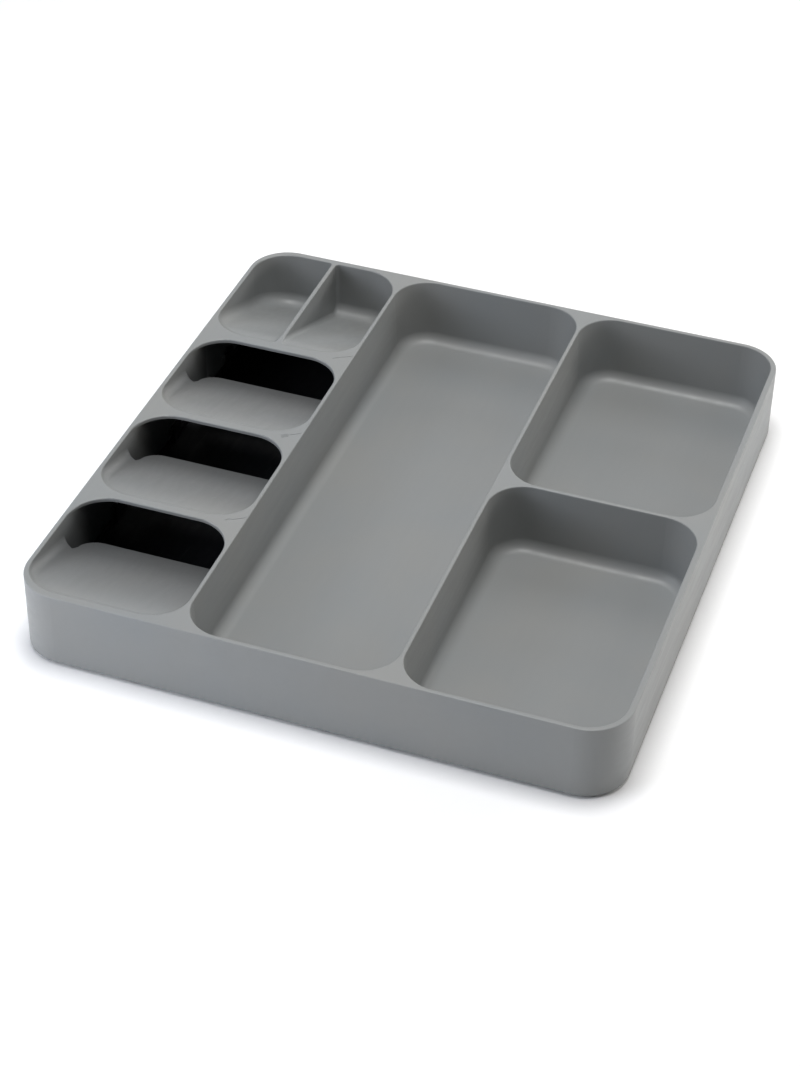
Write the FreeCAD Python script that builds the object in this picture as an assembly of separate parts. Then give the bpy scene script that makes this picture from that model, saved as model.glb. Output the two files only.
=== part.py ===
import FreeCAD, Part
import math
import os

# Drawer tray: an overlapping cutlery column on the left, a long bin, and two short bins.
# Millimetres. X runs along the front, Y to the back, Z up from the surface it stands on.
# Plan places below are measured from the outer front left corner, and moved to the centre at the end.

os.makedirs("parts", exist_ok=True)

# overall size
WIDTH = 370.2
DEPTH = 398.1
FOOT_LIFT = 1.2             # how far the feet hold the tray off the drawer
SHELL_HEIGHT = 50.9
OUTER_RADIUS = 27.0

# mouldings
OUTER_WALL = 2.8
RIGHT_WALL = 3.8
INNER_WALL = 2.4
DECK_THICKNESS = 2.4
FLOOR_THICKNESS = 2.2
RIM_ROUND = 0.8
BASE_ROUND = 2.0            # lower outside edge
PLATE_THICKNESS = 2.4       # sloping plates, measured straight down

# open bins
COLUMN_WIDTH = 100.6
LONG_BIN_WIDTH = 127.8
FRONT_BIN_LENGTH = 195.7
BIN_RADIUS = 24.0
BIN_LEAN = 2.5              # how far the walls of a bin come in between its rim and its floor
BIN_FLOOR_ROUND = 7.7
BIN_RAISE = 2.7             # open space under the floor of a bin

# overlapping cutlery slots
SLOT_COUNT = 3
SLOT_PITCH = 91.7
FIRST_SLOT_FRONT = 3.4
FIRST_SLOT_BACK = 98.4
SLOT_LENGTH = 87.4          # every slot behind the first
SLOT_RADIUS = 25.0
SLOT_STEP = 0.9             # drop from the deck to the start of the slope
SLOT_SLOPE = 14.0
SLOT_CREST = 20.0           # radius that turns the deck into the slope
SLOT_FLOOR_ROUND = 5.0
TONGUE_GAP = 21.5           # from the end of the sloping plate to the rim behind it

# notch where a sloping plate leaves the side wall
NOTCH_WALL_SETBACK = 9.0
NOTCH_TIP_SETBACK = 15.5
NOTCH_TIP_INSET = 8.2
NOTCH_FLANK_INSET = 10.2
TONGUE_CORNER = 12.0

# two small compartments behind the slots
SMALL_FRONT_STRIP = 4.4
SMALL_BACK_WALL = 4.2
SMALL_RADIUS = 25.0
SMALL_SLOPE = 22.0
SMALL_CREST = 40.0
SMALL_FLOOR_ROUND = 7.0
DIVIDER_THICKNESS = 2.8
DIVIDER_OFFSET = 49.1       # left wall to divider
DIVIDER_CORNER = 3.0

# separate base under the cutlery column
BASE_PLAY = 0.4
BASE_LIP_HEIGHT = 4.4
BASE_LIP_THICKNESS = 1.8
BASE_RIGHT_RADIUS = 12.0
CLIP_PLACES = (48.0, 138.0, 228.0, 318.0)
CLIP_WIDTH = 10.0
CLIP_THICKNESS = 1.6
CLIP_SETBACK = 1.6          # wall face to the clip's outer face
CATCH_WIDTH = 12.0
CATCH_DEPTH = 1.3
CATCH_LOW = 13.0
CATCH_HEIGHT = 2.0
CLIP_HOOK_HEIGHT = 2.0
CLIP_CLEARANCE = 0.2

# shallow pictograms on the deck behind each slot
ICON_DEPTH = 0.25
ICON_ANGLE = 33.0
ICON_CENTRE_INSET = 4.1     # back from the right wall of the column
ICON_CENTRE_SETBACK = 6.6   # behind the rim of the slot
ICON_LENGTH = 13.0
ICON_HEAD = 5.0
ICON_STEM = 0.9
ICON_WIDTH = 3.0
ICON_TINE = 0.54
ICON_BLADE = 1.65

# feet
FOOT_DIAMETER = 12.0
FOOT_RECESS = 0.8
FOOT_EDGE_ROUND = 0.4
FOOT_EDGE_DISTANCE = 36.0
FOOT_BOSS_DIAMETER = 17.0

# places worked out from the sizes above
SHELL_LOW = FOOT_LIFT
TOP = FOOT_LIFT + SHELL_HEIGHT
PAN_FLOOR = SHELL_LOW + FLOOR_THICKNESS
BIN_FLOOR = PAN_FLOOR + BIN_RAISE
COLUMN_LEFT = OUTER_WALL
COLUMN_RIGHT = COLUMN_LEFT + COLUMN_WIDTH
LONG_LEFT = COLUMN_RIGHT + INNER_WALL
LONG_RIGHT = LONG_LEFT + LONG_BIN_WIDTH
SHORT_LEFT = LONG_RIGHT + INNER_WALL
SHORT_RIGHT = WIDTH - RIGHT_WALL
INSIDE_FRONT = OUTER_WALL
INSIDE_BACK = DEPTH - OUTER_WALL
FRONT_BIN_BACK = INSIDE_FRONT + FRONT_BIN_LENGTH
BACK_BIN_FRONT = FRONT_BIN_BACK + INNER_WALL
SMALL_FRONT = FIRST_SLOT_BACK + SLOT_PITCH * (SLOT_COUNT - 1) + SMALL_FRONT_STRIP
SMALL_BACK = DEPTH - SMALL_BACK_WALL
OVER = 2.0                  # how far cutting tools run past a face
POCKET_RISE = 30.0          # how far the pocket tools stand above the deck
NEAR = 1e-4                 # two places closer than this are the same


def vec(x, y, z):
    return FreeCAD.Vector(x, y, z)


def box(x1, x2, y1, y2, z1, z2):
    return Part.makeBox(x2 - x1, y2 - y1, z2 - z1, vec(x1, y1, z1))


def upright_edges(shape):
    found = []
    for edge in shape.Edges:
        ends = [v.Point for v in edge.Vertexes]
        if len(ends) == 2 and abs(ends[0].x - ends[1].x) + abs(ends[0].y - ends[1].y) < NEAR:
            found.append(edge)
    return found


def level_edges(shape, level):
    found = []
    for edge in shape.Edges:
        bounds = edge.BoundBox
        if abs(bounds.ZMin - level) < NEAR and abs(bounds.ZMax - level) < NEAR:
            found.append(edge)
    return found


def rounded_block(x1, x2, y1, y2, z1, z2, radius):
    block = box(x1, x2, y1, y2, z1, z2)
    return block.makeFillet(radius, upright_edges(block))


def column_block(front, back, radius):
    """Rounded block as wide as the cutlery column and running past its top."""
    return rounded_block(COLUMN_LEFT, COLUMN_RIGHT, front, back, SHELL_LOW, TOP + POCKET_RISE, radius)


def slot_range(index):
    """Front and back of one cutlery slot at deck level."""
    back = FIRST_SLOT_BACK + SLOT_PITCH * index
    front = FIRST_SLOT_FRONT if index == 0 else back - SLOT_LENGTH
    return front, back


def slope_profile(front, end, step, crest, slope, lowered=0.0):
    """Crest and straight slope in the YZ plane. Returns the edges and both ends."""
    angle = math.radians(slope)
    start = vec(0, front, TOP - step - lowered)
    half = vec(0, front + crest * math.sin(angle / 2), start.z - crest * (1 - math.cos(angle / 2)))
    turn = vec(0, front + crest * math.sin(angle), start.z - crest * (1 - math.cos(angle)))
    last = vec(0, end, turn.z - (end - turn.y) * math.tan(angle))
    edges = [Part.Arc(start, half, turn).toShape(), Part.makeLine(turn, last)]
    return edges, start, last


def chain(*points):
    """Straight edges from point to point."""
    return [Part.makeLine(one, other) for one, other in zip(points, points[1:])]


def extrude_profile(edges, x1, x2):
    face = Part.Face(Part.Wire(Part.__sortEdges__(edges)))
    solid = face.extrude(vec(x2 - x1, 0, 0))
    solid.translate(vec(x1, 0, 0))
    return solid


def extrude_into_walls(edges):
    """A profile across the cutlery column that runs halfway into both of its side walls."""
    overlap = INNER_WALL / 2
    return extrude_profile(edges, COLUMN_LEFT - overlap, COLUMN_RIGHT + overlap)


def inset_outline(x1, x2, y1, y2, inset, level):
    """Outline of a bin at one height, drawn in from its rim by the inset."""
    low, high = level, level + OVER
    block = rounded_block(x1 + inset, x2 - inset, y1 + inset, y2 - inset, low, high, BIN_RADIUS - inset)
    lowest = min(block.Faces, key=lambda face: face.CenterOfMass.z)
    return lowest.OuterWire


def open_bin(x1, x2, y1, y2):
    """Space inside a bin, narrower at its floor than at its rim."""
    flare = BIN_LEAN * OVER / (TOP - BIN_FLOOR)
    floor = inset_outline(x1, x2, y1, y2, BIN_LEAN, BIN_FLOOR)
    mouth = inset_outline(x1, x2, y1, y2, -flare, TOP + OVER)
    pocket = Part.makeLoft([floor, mouth], True, True)
    return pocket.makeFillet(BIN_FLOOR_ROUND, level_edges(pocket, BIN_FLOOR))


def space_under_bin(x1, x2, y1, y2):
    return rounded_block(x1, x2, y1, y2, SHELL_LOW - OVER, SHELL_LOW + BIN_RAISE, BIN_RADIUS)


def bin_jacket(x1, x2, y1, y2):
    wall = INNER_WALL
    low = SHELL_LOW - OVER
    return rounded_block(x1 - wall, x2 + wall, y1 - wall, y2 + wall, low, TOP, BIN_RADIUS + wall)


def bin_places():
    return (
        (LONG_LEFT, LONG_RIGHT, INSIDE_FRONT, INSIDE_BACK),
        (SHORT_LEFT, SHORT_RIGHT, INSIDE_FRONT, FRONT_BIN_BACK),
        (SHORT_LEFT, SHORT_RIGHT, BACK_BIN_FRONT, INSIDE_BACK),
    )


def tongue_cutter(end):
    """Everything behind one sloping plate. The plate has a notch at its left wall and none at its right."""
    left, right = COLUMN_LEFT, COLUMN_RIGHT
    flank = left + NOTCH_FLANK_INSET
    bow = TONGUE_CORNER * (1 - math.sqrt(0.5))
    notch = [
        vec(left - OVER, end - NOTCH_WALL_SETBACK, 0),
        vec(left, end - NOTCH_WALL_SETBACK, 0),
        vec(left + NOTCH_TIP_INSET, end - NOTCH_TIP_SETBACK, 0),
        vec(flank, end - TONGUE_CORNER, 0),
    ]
    corner_end = vec(flank + TONGUE_CORNER, end, 0)
    beyond = end + TONGUE_GAP
    far_right = right + OVER
    edges = chain(*notch)
    edges.append(Part.Arc(notch[-1], vec(flank + bow, end - bow, 0), corner_end).toShape())
    edges += chain(corner_end, vec(far_right, end, 0), vec(far_right, beyond, 0))
    edges += chain(vec(far_right, beyond, 0), vec(left - OVER, beyond, 0), notch[0])
    face = Part.Face(Part.Wire(edges))
    solid = face.extrude(vec(0, 0, SHELL_HEIGHT))
    solid.translate(vec(0, 0, SHELL_LOW))
    tips = [e for e in upright_edges(solid) if abs(e.Vertexes[0].Point.x - notch[2].x) < NEAR]
    return solid.makeFillet(RIM_ROUND, tips)


def sloping_plate(front, end):
    """One tongue that a stack of cutlery lies on, with spare height for the blends into the walls."""
    shape = (SLOT_STEP, SLOT_CREST, SLOT_SLOPE)
    lower, lower_start, lower_end = slope_profile(front, end, *shape, PLATE_THICKNESS)
    high_front = vec(0, front, TOP)
    high_back = vec(0, end, lower_end.z + PLATE_THICKNESS + SLOT_FLOOR_ROUND)
    turn = vec(0, front + SLOT_RADIUS, TOP)
    edges = lower + chain(lower_start, high_front, turn, high_back, lower_end)
    return extrude_into_walls(edges).cut(tongue_cutter(end))


def blended_pocket(front, back, radius, shape, blend):
    """Space above a sloping floor, as wide as the column, with its floor blended into its walls."""
    edges, start, last = slope_profile(front, back, *shape)
    above = TOP + POCKET_RISE
    edges += chain(last, vec(0, back, above), vec(0, front, above), start)
    pocket = column_block(front, back, radius).common(extrude_profile(edges, COLUMN_LEFT, COLUMN_RIGHT))
    around_floor = []
    for edge in pocket.Edges:
        bounds = edge.BoundBox
        across = bounds.YLength < NEAR and front + NEAR < bounds.YMin < back - NEAR
        if bounds.ZMax < TOP and not across:
            around_floor.append(edge)
    return pocket.makeFillet(blend, around_floor)


def slot_pocket(front, back):
    shape = (SLOT_STEP, SLOT_CREST, SLOT_SLOPE)
    return blended_pocket(front, back, SLOT_RADIUS, shape, SLOT_FLOOR_ROUND)


def small_basin():
    """Solid that the two small compartments are cut from."""
    back = INSIDE_BACK + OUTER_WALL / 2
    shape = (SLOT_STEP, SMALL_CREST, SMALL_SLOPE, FLOOR_THICKNESS)
    edges, start, last = slope_profile(SMALL_FRONT, back, *shape)
    high_front = vec(0, SMALL_FRONT, TOP)
    high_back = vec(0, back, TOP)
    return extrude_into_walls(edges + chain(start, high_front, high_back, last))


def small_pockets():
    """The two small compartments, with the divider left standing between them."""
    shape = (SLOT_STEP, SMALL_CREST, SMALL_SLOPE)
    whole = blended_pocket(SMALL_FRONT, SMALL_BACK, SMALL_RADIUS, shape, SMALL_FLOOR_ROUND)
    divider_left = COLUMN_LEFT + DIVIDER_OFFSET
    divider_right = divider_left + DIVIDER_THICKNESS
    above = TOP + POCKET_RISE
    divider = box(divider_left, divider_right, SMALL_FRONT - OVER, SMALL_BACK + OVER, 0, above + OVER)
    rounded = []
    for solid in whole.cut(divider).Solids:
        beside = []
        for edge in solid.Edges:
            bounds = edge.BoundBox
            x = bounds.Center.x
            flat = bounds.XLength < NEAR and bounds.ZMin < TOP
            if flat and min(abs(x - divider_left), abs(x - divider_right)) < NEAR:
                beside.append(edge)
        rounded.append(solid.makeFillet(DIVIDER_CORNER, beside))
    return rounded


def catches():
    """Small ledges on both side walls of the column that the clips of the base hook over."""
    half = CATCH_WIDTH / 2
    root = INNER_WALL / 2
    ledges = []
    for place in CLIP_PLACES:
        front, back = place - half, place + half
        high = CATCH_LOW + CATCH_HEIGHT
        ledges.append(box(COLUMN_LEFT - root, COLUMN_LEFT + CATCH_DEPTH, front, back, CATCH_LOW, high))
        ledges.append(box(COLUMN_RIGHT - CATCH_DEPTH, COLUMN_RIGHT + root, front, back, CATCH_LOW, high))
    return ledges


def foot_places():
    near = FOOT_EDGE_DISTANCE
    across = (near, (LONG_LEFT + LONG_RIGHT) / 2, WIDTH - near)
    along = (near, DEPTH - near)
    return across, along


def foot_boss(x, y):
    return Part.makeCylinder(FOOT_BOSS_DIAMETER / 2, BIN_RAISE + FLOOR_THICKNESS / 2, vec(x, y, SHELL_LOW))


def foot_recess(x, y):
    return Part.makeCylinder(FOOT_DIAMETER / 2, FOOT_RECESS + OVER, vec(x, y, SHELL_LOW - OVER))


def icon_bar(x1, x2, y, width):
    """A straight bar with round ends, from just under the deck's surface upwards."""
    low = TOP - ICON_DEPTH
    bar = box(x1, x2, y - width / 2, y + width / 2, low, TOP + OVER)
    ends = [Part.makeCylinder(width / 2, ICON_DEPTH + OVER, vec(x, y, low)) for x in (x1, x2)]
    return bar.fuse(ends)


def spoon_icon():
    half = ICON_LENGTH / 2
    bowl = Part.makeCylinder(ICON_WIDTH / 2, ICON_DEPTH + OVER, vec(0, 0, TOP - ICON_DEPTH))
    stretch = FreeCAD.Matrix()
    stretch.scale(ICON_HEAD / ICON_WIDTH, 1, 1)
    bowl = bowl.transformGeometry(stretch)
    bowl.translate(vec(ICON_HEAD / 2 - half, 0, 0))
    return bowl.fuse(icon_bar(ICON_HEAD - half, half, 0, ICON_STEM))


def fork_icon():
    half = ICON_LENGTH / 2
    tine = ICON_TINE
    spread = (ICON_WIDTH - tine) / 2
    shapes = [icon_bar(-half, ICON_HEAD - half, y, tine) for y in (-spread, 0, spread)]
    root = ICON_HEAD - half
    shapes.append(box(root - tine, root + tine / 2, -spread, spread, TOP - ICON_DEPTH, TOP + OVER))
    return icon_bar(root, half, 0, ICON_STEM).fuse(shapes)


def knife_icon():
    half = ICON_LENGTH / 2
    return icon_bar(-half, 0, 0, ICON_BLADE).fuse(icon_bar(0, half, 0, ICON_STEM))


def icons():
    placed = []
    for index, icon in enumerate((spoon_icon(), fork_icon(), knife_icon())):
        front, back = slot_range(index)
        icon.rotate(vec(0, 0, 0), vec(0, 0, 1), ICON_ANGLE)
        icon.translate(vec(COLUMN_RIGHT - ICON_CENTRE_INSET, back + ICON_CENTRE_SETBACK, 0))
        placed.append(icon)
    return placed


def tray_shell():
    """The whole grey moulding: outer walls, deck, bins, sloping plates and small compartments."""
    outside = rounded_block(0, WIDTH, 0, DEPTH, SHELL_LOW, TOP, OUTER_RADIUS)
    outside = outside.makeFillet(BASE_ROUND, level_edges(outside, SHELL_LOW))
    inner_radius = OUTER_RADIUS - OUTER_WALL
    hollow = rounded_block(
        COLUMN_LEFT, SHORT_RIGHT, INSIDE_FRONT, INSIDE_BACK,
        SHELL_LOW - OVER, TOP - DECK_THICKNESS, inner_radius,
    )
    for place in bin_places():
        hollow = hollow.cut(bin_jacket(*place))
    body = outside.cut(hollow)
    body = body.cut([open_bin(*place) for place in bin_places()])
    body = body.cut([space_under_bin(*place) for place in bin_places()])
    across, along = foot_places()
    foot_centres = [(x, y) for x in across[1:] for y in along]
    extra = [small_basin()] + catches() + [foot_boss(*centre) for centre in foot_centres]
    pockets = small_pockets()
    for index in range(SLOT_COUNT):
        front, back = slot_range(index)
        extra.append(sloping_plate(front, back - TONGUE_GAP))
        pockets.append(slot_pocket(front, back))
    body = body.fuse(extra).common(outside)
    body = body.cut(pockets)
    body = body.cut([foot_recess(*centre) for centre in foot_centres])
    body = body.removeSplitter()
    body = body.makeFillet(RIM_ROUND, level_edges(body, TOP))
    return body.cut(icons())


def base_outline(inset, z1, z2):
    left = COLUMN_LEFT + BASE_PLAY + inset
    right = COLUMN_RIGHT - BASE_PLAY - inset
    front = INSIDE_FRONT + BASE_PLAY + inset
    back = INSIDE_BACK - BASE_PLAY - inset
    block = box(left, right, front, back, z1, z2)
    left_edges = [e for e in upright_edges(block) if abs(e.Vertexes[0].Point.x - left) < NEAR]
    block = block.makeFillet(OUTER_RADIUS - OUTER_WALL - BASE_PLAY - inset, left_edges)
    right_edges = [e for e in upright_edges(block) if abs(e.Vertexes[0].Point.x - right) < NEAR]
    return block.makeFillet(BASE_RIGHT_RADIUS - inset, right_edges)


def clip(place, wall_face, inward):
    """One spring clip: an upright leaf and a hook that sits over its ledge."""
    outer = wall_face + inward * CLIP_SETBACK
    inner = outer + inward * CLIP_THICKNESS
    hook_tip = wall_face + inward * 2 * CLIP_CLEARANCE
    low = SHELL_LOW + FLOOR_THICKNESS / 2
    hook_low = CATCH_LOW + CATCH_HEIGHT + CLIP_CLEARANCE
    high = hook_low + CLIP_HOOK_HEIGHT
    points = [
        vec(inner, 0, low), vec(inner, 0, high), vec(outer, 0, high),
        vec(hook_tip, 0, hook_low), vec(outer, 0, hook_low), vec(outer, 0, low), vec(inner, 0, low),
    ]
    face = Part.Face(Part.makePolygon(points))
    solid = face.extrude(vec(0, CLIP_WIDTH, 0))
    solid.translate(vec(0, place - CLIP_WIDTH / 2, 0))
    return solid


def cutlery_base():
    """The dark pan that closes the cutlery column from below and carries the ends of the cutlery."""
    pan = base_outline(0, SHELL_LOW, PAN_FLOOR + BASE_LIP_HEIGHT)
    pan = pan.cut(base_outline(BASE_LIP_THICKNESS, PAN_FLOOR, PAN_FLOOR + BASE_LIP_HEIGHT + OVER))
    clips = []
    for place in CLIP_PLACES:
        clips.append(clip(place, COLUMN_LEFT, 1))
        clips.append(clip(place, COLUMN_RIGHT, -1))
    pan = pan.fuse(clips).removeSplitter()
    across, along = foot_places()
    return pan.cut([foot_recess(across[0], y) for y in along])


def foot(x, y):
    pad = Part.makeCylinder(FOOT_DIAMETER / 2, FOOT_LIFT + FOOT_RECESS, vec(x, y, 0))
    return pad.makeFillet(FOOT_EDGE_ROUND, level_edges(pad, 0))


def save(name, shape):
    shape = shape.copy()
    shape.translate(vec(-WIDTH / 2, -DEPTH / 2, 0))
    solids = shape.Solids
    assert len(solids) == 1 and solids[0].isValid(), name
    solids[0].exportStep("parts/" + name + ".step")
    print(name, round(solids[0].Volume), "mm3")


def main():
    save("tray_shell", tray_shell())
    save("cutlery_base", cutlery_base())
    across, along = foot_places()
    for x, side in zip(across, ("left", "middle", "right")):
        for y, end in zip(along, ("front", "back")):
            save("foot_" + end + "_" + side, foot(x, y))


main()
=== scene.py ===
import math
import bpy
from mathutils import Matrix, Vector


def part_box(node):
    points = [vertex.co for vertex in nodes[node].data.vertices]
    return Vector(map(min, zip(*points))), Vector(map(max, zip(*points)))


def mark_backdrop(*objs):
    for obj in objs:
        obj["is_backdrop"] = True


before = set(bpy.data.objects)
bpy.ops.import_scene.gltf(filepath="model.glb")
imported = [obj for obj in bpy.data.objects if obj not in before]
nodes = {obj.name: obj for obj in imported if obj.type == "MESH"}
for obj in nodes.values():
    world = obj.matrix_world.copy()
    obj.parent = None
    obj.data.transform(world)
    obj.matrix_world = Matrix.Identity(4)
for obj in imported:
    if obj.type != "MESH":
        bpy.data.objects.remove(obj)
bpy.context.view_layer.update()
scene = bpy.context.scene
mmPerMetre = 1000.0
print("frame loaded:", len(nodes), "moulded and fitted pieces")


# small helpers for node trees

def link(tree, fromSocket, toSocket):
    tree.links.new(fromSocket, toSocket)


def addNode(tree, kind, **settings):
    node = tree.nodes.new(kind)
    for name, value in settings.items():
        setattr(node, name, value)
    return node


def mathNode(tree, operation, first, second):
    node = addNode(tree, "ShaderNodeMath", operation=operation)
    for socket, value in zip(node.inputs, (first, second)):
        if isinstance(value, (int, float)):
            socket.default_value = value
        else:
            link(tree, value, socket)
    return node.outputs[0]


def spread(tree, value, low, high, newLow, newHigh):
    # map range with both ends clamped
    node = addNode(tree, "ShaderNodeMapRange")
    link(tree, value, node.inputs["Value"])
    for name, number in (("From Min", low), ("From Max", high), ("To Min", newLow), ("To Max", newHigh)):
        node.inputs[name].default_value = number
    return node.outputs["Result"]


def maskFrom(tree, value, low, high):
    return spread(tree, value, low, high, 0.0, 1.0)


def noise(tree, vector, scale, detail, roughness):
    node = addNode(tree, "ShaderNodeTexNoise")
    link(tree, vector, node.inputs["Vector"])
    if isinstance(scale, (int, float)):
        node.inputs["Scale"].default_value = scale
    else:
        link(tree, scale, node.inputs["Scale"])
    node.inputs["Detail"].default_value = detail
    node.inputs["Roughness"].default_value = roughness
    return node.outputs["Fac"]


def newGroup(name, inputs, outputs):
    group = bpy.data.node_groups.new(name, "ShaderNodeTree")
    for socketName, kind, value in inputs:
        socket = group.interface.new_socket(socketName, in_out="INPUT", socket_type=kind)
        socket.default_value = value
    for socketName, kind in outputs:
        group.interface.new_socket(socketName, in_out="OUTPUT", socket_type=kind)
    return group, group.nodes.new("NodeGroupInput"), group.nodes.new("NodeGroupOutput")


# effects that the plastics and the rubber share

grainForm = {
    "fine": (2.0, 0.6),         # detail and roughness of a noise
    "coarse": (1.0, 0.5),
    "coarseScale": 0.23,        # of the fine scale, so these pits are over four times wider
}


def buildSparkGrain():
    # spark eroded mould skin: fine round pits in two sizes, grainSize in mm
    group, inside, outside = newGroup(
        "sparkGrain",
        [("grainSize", "NodeSocketFloat", 0.35), ("coarseShare", "NodeSocketFloat", 0.4)],
        [("height", "NodeSocketFloat")],
    )
    place = addNode(group, "ShaderNodeTexCoord").outputs["Object"]
    fineScale = mathNode(group, "DIVIDE", mmPerMetre, inside.outputs["grainSize"])
    coarseScale = mathNode(group, "MULTIPLY", fineScale, grainForm["coarseScale"])
    fine = noise(group, place, fineScale, *grainForm["fine"])
    coarse = noise(group, place, coarseScale, *grainForm["coarse"])
    share = mathNode(group, "MULTIPLY", coarse, inside.outputs["coarseShare"])
    link(group, mathNode(group, "ADD", fine, share), outside.inputs["height"])
    return group


flowForm = {
    "cloud": (3.0, 0.55),       # detail and roughness
    "cloudFade": (0.3, 0.7),    # noise values where a mask starts and is full
    "streak": (3.0, 0.6),
    "streakScale": 210.0,       # per metre, across the streaks
    "streakFade": (0.35, 0.65),
}


def buildFlowMarks():
    # broad clouds and faint streaks that a large moulding shows under soft light, cloudSize in mm
    group, inside, outside = newGroup(
        "flowMarks",
        [("cloudSize", "NodeSocketFloat", 60.0), ("streakLength", "NodeSocketFloat", 0.12)],
        [("clouds", "NodeSocketFloat"), ("streaks", "NodeSocketFloat")],
    )
    place = addNode(group, "ShaderNodeTexCoord").outputs["Object"]
    cloudScale = mathNode(group, "DIVIDE", mmPerMetre, inside.outputs["cloudSize"])
    clouds = noise(group, place, cloudScale, *flowForm["cloud"])
    squeeze = addNode(group, "ShaderNodeCombineXYZ")
    squeeze.inputs["X"].default_value = 1.0
    squeeze.inputs["Z"].default_value = 1.0
    link(group, inside.outputs["streakLength"], squeeze.inputs["Y"])
    stretch = addNode(group, "ShaderNodeVectorMath", operation="MULTIPLY")
    link(group, place, stretch.inputs[0])
    link(group, squeeze.outputs[0], stretch.inputs[1])
    streaks = noise(group, stretch.outputs[0], flowForm["streakScale"], *flowForm["streak"])
    link(group, maskFrom(group, clouds, *flowForm["cloudFade"]), outside.inputs["clouds"])
    link(group, maskFrom(group, streaks, *flowForm["streakFade"]), outside.inputs["streaks"])
    return group


rubAndHighlightForm = {
    "samples": 4,
    "edge": (0.985, 0.8),       # agreement of rounded and flat normal, from no edge mask to the full mask
    "patch": (3.0, 0.6),        # detail and roughness
    "patchScale": 55.0,         # per metre
    "patchFade": (0.3, 0.7),
}


def buildEdgeRubAndHighlight():
    # polished and slightly pale where hands and cutlery rub the edges, and on the shell also a painted
    # highlight along the rounded rims, reach in metres
    group, inside, outside = newGroup(
        "edgeRubAndHighlight",
        [("reach", "NodeSocketFloat", 0.0015), ("patchiness", "NodeSocketFloat", 0.5)],
        [("mask", "NodeSocketFloat")],
    )
    rounded = addNode(group, "ShaderNodeBevel", samples=rubAndHighlightForm["samples"])
    link(group, inside.outputs["reach"], rounded.inputs["Radius"])
    flat = addNode(group, "ShaderNodeNewGeometry")
    agree = addNode(group, "ShaderNodeVectorMath", operation="DOT_PRODUCT")
    link(group, rounded.outputs["Normal"], agree.inputs[0])
    link(group, flat.outputs["Normal"], agree.inputs[1])
    edge = maskFrom(group, agree.outputs["Value"], *rubAndHighlightForm["edge"])
    place = addNode(group, "ShaderNodeTexCoord").outputs["Object"]
    spots = noise(group, place, rubAndHighlightForm["patchScale"], *rubAndHighlightForm["patch"])
    patches = maskFrom(group, spots, *rubAndHighlightForm["patchFade"])
    worn = mathNode(group, "MULTIPLY", patches, inside.outputs["patchiness"])
    kept = mathNode(group, "SUBTRACT", 1.0, inside.outputs["patchiness"])
    share = mathNode(group, "ADD", worn, kept)
    link(group, mathNode(group, "MULTIPLY", edge, share), outside.inputs["mask"])
    return group


scratchForm = {
    "stretches": ((1.0, 0.035, 1.0), (0.05, 1.0, 1.0)),     # along y, then along x
    "scale": 9000.0,            # per metre once it is divided by the spacing
    "line": (1.0, 0.5),         # detail and roughness
    "lineFade": (0.72, 0.78),
}


def buildHairScratches():
    # sparse hairlines in two directions, left by cutlery and by sliding in the drawer, turn in radians
    group, inside, outside = newGroup(
        "hairScratches",
        [("spacing", "NodeSocketFloat", 14.0), ("turn", "NodeSocketFloat", 0.4)],
        [("mask", "NodeSocketFloat")],
    )
    place = addNode(group, "ShaderNodeTexCoord").outputs["Object"]
    bend = addNode(group, "ShaderNodeVectorRotate", rotation_type="Z_AXIS")
    link(group, place, bend.inputs["Vector"])
    link(group, inside.outputs["turn"], bend.inputs["Angle"])
    lineScale = mathNode(group, "DIVIDE", scratchForm["scale"], inside.outputs["spacing"])
    directions = []
    for factors in scratchForm["stretches"]:
        stretch = addNode(group, "ShaderNodeVectorMath", operation="MULTIPLY")
        link(group, bend.outputs[0], stretch.inputs[0])
        stretch.inputs[1].default_value = factors
        line = noise(group, stretch.outputs[0], lineScale, *scratchForm["line"])
        directions.append(maskFrom(group, line, *scratchForm["lineFade"]))
    link(group, mathNode(group, "MAXIMUM", *directions), outside.inputs["mask"])
    return group


effects = {
    "sparkGrain": buildSparkGrain(),
    "flowMarks": buildFlowMarks(),
    "edgeRubAndHighlight": buildEdgeRubAndHighlight(),
    "hairScratches": buildHairScratches(),
}
print("shared effects built:", ", ".join(effects))


def useEffect(tree, name, look):
    # every finish gives its own values under the effect's name
    node = addNode(tree, "ShaderNodeGroup", node_tree=effects[name])
    for socketName, value in look[name].items():
        node.inputs[socketName].default_value = value
    return node


def newMaterial(name, **values):
    material = bpy.data.materials.new(name)
    material.use_nodes = True
    tree = material.node_tree
    shader = tree.nodes["Principled BSDF"]
    for socketName, value in values.items():
        shader.inputs[socketName].default_value = value
    return material, tree, shader


# a mix node has a set of sockets for each kind of value, and these are the ones for colours
colourMix = {"factor": 0, "first": 6, "second": 7, "result": 2}


def blendColours(tree, factor, first, second):
    node = addNode(tree, "ShaderNodeMix", data_type="RGBA")
    link(tree, factor, node.inputs[colourMix["factor"]])
    for name, value in (("first", first), ("second", second)):
        socket = node.inputs[colourMix[name]]
        if isinstance(value, tuple):
            socket.default_value = value + (1.0,)
        else:
            link(tree, value, socket)
    return node.outputs[colourMix["result"]]


def grainInto(tree, shader, height, look):
    bump = addNode(tree, "ShaderNodeBump")
    bump.inputs["Strength"].default_value = look["grainStrength"]
    bump.inputs["Distance"].default_value = look["grainDepth"]
    link(tree, height, bump.inputs["Height"])
    link(tree, bump.outputs["Normal"], shader.inputs["Normal"])


# the grey moulding

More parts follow.
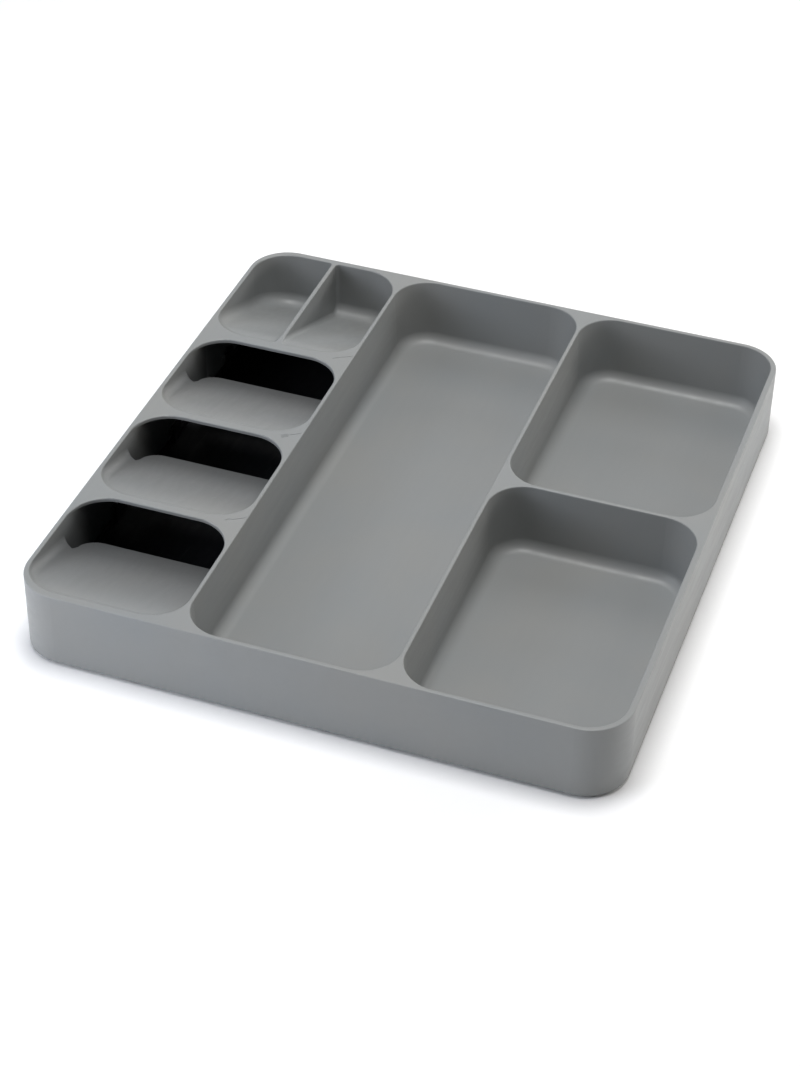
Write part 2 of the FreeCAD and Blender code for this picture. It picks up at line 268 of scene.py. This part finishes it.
shellFinish = {
    "colour": (0.222, 0.233, 0.236),
    "warmColour": (0.235, 0.239, 0.234),
    # the paler edge colour is partly rub wear, partly a painted highlight along the rounded rims
    "rubAndHighlightColour": (0.300, 0.310, 0.310),
    "paintedShadeColour": (0.0035, 0.0042, 0.0055),     # painted shade far down the cutlery slots
    "roughness": (0.42, 0.50),
    "ior": 1.49,
    "sparkGrain": {"grainSize": 0.45, "coarseShare": 0.4},
    "grainDepth": 0.000012,     # metres
    "grainStrength": 0.35,
    "flowMarks": {"cloudSize": 70.0, "streakLength": 0.12},
    "edgeRubAndHighlight": {"reach": 0.0012, "patchiness": 0.4},
    "rubAndHighlightShare": 0.9,
    "rubbedGloss": 0.06,        # taken off the roughness
    "hairScratches": {"spacing": 16.0, "turn": 0.5},
    "scratchGloss": 0.08,
    "scratchHeight": -0.6,      # added to the grain's height along a scratch
}


# painted shade: the cutlery slots get darker with depth towards their mouths, all sizes in metres

slotShade = {
    "wall": 0.0014,         # from a face to the middle of its wall
    "cornerRadius": 0.027,
    "slotsBack": 0.0850,    # middle of the strip behind the last slot
    "fade": 0.0125,         # depth over which the shade grows
    "start": 0.0009,
    "wallShare": 0.3,       # how much of the shade an upright face gets
}


# paints shade into the shell colour: 0 where none is painted, growing towards 1 deep in the cutlery slots
def paintedSlotShade(tree):
    low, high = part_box("tray_shell")
    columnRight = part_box("cutlery_base")[1].x + slotShade["wall"]
    parts = addNode(tree, "ShaderNodeSeparateXYZ")
    link(tree, addNode(tree, "ShaderNodeTexCoord").outputs["Object"], parts.inputs[0])
    x, y, z = parts.outputs
    # squared distance past the centre of the rounded front corner, good along the two straight walls too
    radius = slotShade["cornerRadius"]
    squares = []
    for centre, along in ((low.x + radius, x), (low.y + radius, y)):
        past = mathNode(tree, "MAXIMUM", mathNode(tree, "SUBTRACT", centre, along), 0.0)
        squares.append(mathNode(tree, "POWER", past, 2.0))
    inside = mathNode(tree, "LESS_THAN", mathNode(tree, "ADD", *squares), (radius - slotShade["wall"]) ** 2)
    inside = mathNode(tree, "MULTIPLY", inside, mathNode(tree, "LESS_THAN", x, columnRight))
    inside = mathNode(tree, "MULTIPLY", inside, mathNode(tree, "LESS_THAN", y, slotShade["slotsBack"]))
    depth = mathNode(tree, "SUBTRACT", high.z - slotShade["start"], z)
    depth = mathNode(tree, "MAXIMUM", depth, 0.0)
    facing = addNode(tree, "ShaderNodeSeparateXYZ")
    link(tree, addNode(tree, "ShaderNodeTexCoord").outputs["Normal"], facing.inputs[0])
    share = spread(tree, facing.outputs["Z"], 0.0, 1.0, slotShade["wallShare"], 1.0)
    steps = mathNode(tree, "DIVIDE", mathNode(tree, "MULTIPLY", depth, share), slotShade["fade"])
    light = mathNode(tree, "POWER", math.exp(-1.0), steps)
    return mathNode(tree, "MULTIPLY", inside, mathNode(tree, "SUBTRACT", 1.0, light))


def shellMaterial():
    look = shellFinish
    material, tree, shader = newMaterial("grey satin polypropylene", IOR=look["ior"])
    grain = useEffect(tree, "sparkGrain", look)
    flow = useEffect(tree, "flowMarks", look)
    rubAndHighlight = useEffect(tree, "edgeRubAndHighlight", look).outputs["mask"]
    scratched = useEffect(tree, "hairScratches", look).outputs["mask"]
    colour = blendColours(tree, flow.outputs["clouds"], look["colour"], look["warmColour"])
    # paler along the rounded edges: partly rub wear, partly a painted rim highlight
    pale = mathNode(tree, "MULTIPLY", rubAndHighlight, look["rubAndHighlightShare"])
    colour = blendColours(tree, pale, colour, look["rubAndHighlightColour"])
    # painted shade: the colour goes towards near black with depth down the cutlery slots
    colour = blendColours(tree, paintedSlotShade(tree), colour, look["paintedShadeColour"])
    link(tree, colour, shader.inputs["Base Color"])
    rough = spread(tree, flow.outputs["streaks"], 0.0, 1.0, *look["roughness"])
    for wear, gloss in ((scratched, look["scratchGloss"]), (rubAndHighlight, look["rubbedGloss"])):
        rough = mathNode(tree, "SUBTRACT", rough, mathNode(tree, "MULTIPLY", wear, gloss))
    link(tree, rough, shader.inputs["Roughness"])
    dents = mathNode(tree, "MULTIPLY", scratched, look["scratchHeight"])
    grainInto(tree, shader, mathNode(tree, "ADD", grain.outputs["height"], dents), look)
    return material


# the dark pan under the cutlery column

baseFinish = {
    # near black: partly the pan's own colour, partly painted shade for the dark deep in the slot mouths
    "colour": (0.010, 0.011, 0.014),
    "dustColour": (0.035, 0.035, 0.036),
    "dustShare": 0.35,
    "roughness": (0.45, 0.6),
    "ior": 1.49,
    "sparkGrain": {"grainSize": 0.6, "coarseShare": 0.7},
    "grainDepth": 0.00002,
    "grainStrength": 0.4,
    "flowMarks": {"cloudSize": 45.0, "streakLength": 0.2},
    "hairScratches": {"spacing": 9.0, "turn": 0.1},
}


def dustyMaterial(name, look, wear):
    # dust in clouds, and the same dust where the surface is worn or scratched
    material, tree, shader = newMaterial(name, IOR=look["ior"])
    grain = useEffect(tree, "sparkGrain", look)
    flow = useEffect(tree, "flowMarks", look)
    worn = useEffect(tree, wear, look)
    dust = mathNode(tree, "MULTIPLY", flow.outputs["clouds"], look["dustShare"])
    colour = blendColours(tree, dust, look["colour"], look["dustColour"])
    colour = blendColours(tree, worn.outputs["mask"], colour, look["dustColour"])
    link(tree, colour, shader.inputs["Base Color"])
    rough = spread(tree, flow.outputs["streaks"], 0.0, 1.0, *look["roughness"])
    link(tree, rough, shader.inputs["Roughness"])
    grainInto(tree, shader, grain.outputs["height"], look)
    return material


# the six feet

footFinish = {
    "colour": (0.045, 0.045, 0.047),
    "dustColour": (0.13, 0.125, 0.12),
    "dustShare": 0.4,
    "roughness": (0.75, 0.9),
    "ior": 1.5,
    "sparkGrain": {"grainSize": 0.25, "coarseShare": 1.0},
    "grainDepth": 0.00003,
    "grainStrength": 0.6,
    "flowMarks": {"cloudSize": 6.0, "streakLength": 1.0},
    "edgeRubAndHighlight": {"reach": 0.0006, "patchiness": 0.7},
}


def finishNode(name, material):
    for place in nodes[name].material_slots:
        place.material = material


finishNode("tray_shell", shellMaterial())
finishNode("cutlery_base", dustyMaterial("black grained polypropylene", baseFinish, "hairScratches"))
rubber = dustyMaterial("dark soft rubber", footFinish, "edgeRubAndHighlight")
feet = [name for name in sorted(nodes) if name.startswith("foot_")]
for name in feet:
    finishNode(name, rubber)
print("finishes assigned: shell, base and", len(feet), "feet")


# floor, light and camera

studio = {
    "floorSize": 3.4,
    "floorColour": (0.93, 0.93, 0.935),
    "floorRoughness": 0.85,
    "paperScale": 300.0,        # per metre
    "paper": (3.0, 0.6),        # detail and roughness
    "paperFade": (0.3, 0.7),
    "paperShade": 0.99,
    "worldColour": (1.0, 1.0, 1.0),
    "worldStrength": 0.02,      # what reaches the tray
    "backdropStrength": 1.0,    # what the camera sees past the floor
}


def buildFloor():
    half = studio["floorSize"] / 2
    mesh = bpy.data.meshes.new("studioFloor")
    corners = [(-half, -half, 0), (half, -half, 0), (half, half, 0), (-half, half, 0)]
    mesh.from_pydata(corners, [], [(0, 1, 2, 3)])
    floor = bpy.data.objects.new("studioFloor", mesh)
    scene.collection.objects.link(floor)
    material, tree, shader = newMaterial("pale studio floor", Roughness=studio["floorRoughness"])
    place = addNode(tree, "ShaderNodeTexCoord").outputs["Object"]
    paper = noise(tree, place, studio["paperScale"], *studio["paper"])
    pale = studio["floorColour"]
    shaded = tuple(studio["paperShade"] * part for part in pale)
    colour = blendColours(tree, maskFrom(tree, paper, *studio["paperFade"]), pale, shaded)
    link(tree, colour, shader.inputs["Base Color"])
    mesh.materials.append(material)
    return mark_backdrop(floor)


def buildWorld():
    world = bpy.data.worlds.new("softRoom")
    scene.world = world
    world.use_nodes = True
    tree = world.node_tree
    background = tree.nodes["Background"]
    background.inputs["Color"].default_value = studio["worldColour"] + (1.0,)
    seen = addNode(tree, "ShaderNodeLightPath").outputs["Is Camera Ray"]
    strength = spread(tree, seen, 0.0, 1.0, studio["worldStrength"], studio["backdropStrength"])
    link(tree, strength, background.inputs["Strength"])


def directionTo(azimuth, elevation):
    # azimuth is measured in degrees from the front, positive towards the right
    turn, lift = math.radians(azimuth), math.radians(elevation)
    return Vector((math.sin(turn) * math.cos(lift), -math.cos(turn) * math.cos(lift), math.sin(lift)))


def addSoftbox(name, azimuth, elevation, distance, size, power, tint):
    away = directionTo(azimuth, elevation)
    lamp = bpy.data.lights.new(name, "AREA")
    lamp.shape = "RECTANGLE"
    lamp.size, lamp.size_y = size
    lamp.energy = power
    lamp.color = tints[tint]
    holder = bpy.data.objects.new(name, lamp)
    holder.location = away * distance
    holder.rotation_euler = away.to_track_quat("Z", "Y").to_euler()
    scene.collection.objects.link(holder)


tints = {
    "white": (1.0, 1.0, 1.0),
    "warm": (1.02, 1.0, 0.97),
    "cool": (0.95, 0.99, 1.08),
}
softboxes = (
    # name, azimuth, elevation, distance, size, power, tint
    ("overheadBox", 0.0, 89.0, 1.9, (0.8, 0.8), 28.6, "white"),
    ("rearHighBox", 180.0, 45.0, 1.8, (1.8, 0.7), 4.6, "white"),
    ("rearLowBox", 180.0, 20.0, 1.8, (1.8, 0.5), 5.0, "white"),
    ("rearLeftBox", -130.0, 25.0, 1.8, (1.2, 0.6), 2.0, "white"),
    ("rearRightBox", 150.0, 15.0, 1.6, (1.2, 0.4), 2.4, "warm"),
    ("rightHighBox", 95.0, 45.0, 1.7, (0.8, 0.5), 2.5, "warm"),
    ("rightNearBox", 120.0, 20.0, 1.0, (0.5, 0.3), 1.5, "warm"),
    ("rightLowBox", 105.0, 12.0, 1.0, (0.6, 0.25), 1.6, "warm"),
    ("frontLeftBox", -45.0, 25.0, 1.2, (0.7, 0.6), 4.6, "cool"),
    ("nearLeftBox", -40.0, 12.0, 0.9, (0.4, 0.3), 1.5, "cool"),
    ("leftBox", -90.0, 30.0, 1.5, (1.2, 0.7), 2.1, "cool"),
)

buildFloor()
for softbox in softboxes:
    addSoftbox(*softbox)
buildWorld()
scene.view_settings.view_transform = "Standard"
print("floor and light in place")

cameraSet = {
    "azimuth": 18.99,       # degrees round from the front, towards the right
    "elevation": 38.59,
    "distance": 1.5452,
    "aim": (-0.0097, -0.0103, 0.0),
    "roll": 1.0,
    "lens": 82.47,
    "sensor": 36.0,         # mm, upright
    "clipEnd": 20.0,
}


def buildCamera():
    away = directionTo(cameraSet["azimuth"], cameraSet["elevation"])
    data = bpy.data.cameras.new("productCamera")
    data.lens = cameraSet["lens"]
    data.sensor_fit = "VERTICAL"
    data.sensor_height = cameraSet["sensor"]
    data.clip_end = cameraSet["clipEnd"]
    holder = bpy.data.objects.new("productCamera", data)
    upright = away.to_track_quat("Z", "Y").to_matrix().to_4x4()
    rolled = upright @ Matrix.Rotation(math.radians(cameraSet["roll"]), 4, "Z")
    stand = Vector(cameraSet["aim"]) + away * cameraSet["distance"]
    holder.matrix_world = Matrix.Translation(stand) @ rolled
    scene.collection.objects.link(holder)
    scene.camera = holder


buildCamera()
print("camera set")
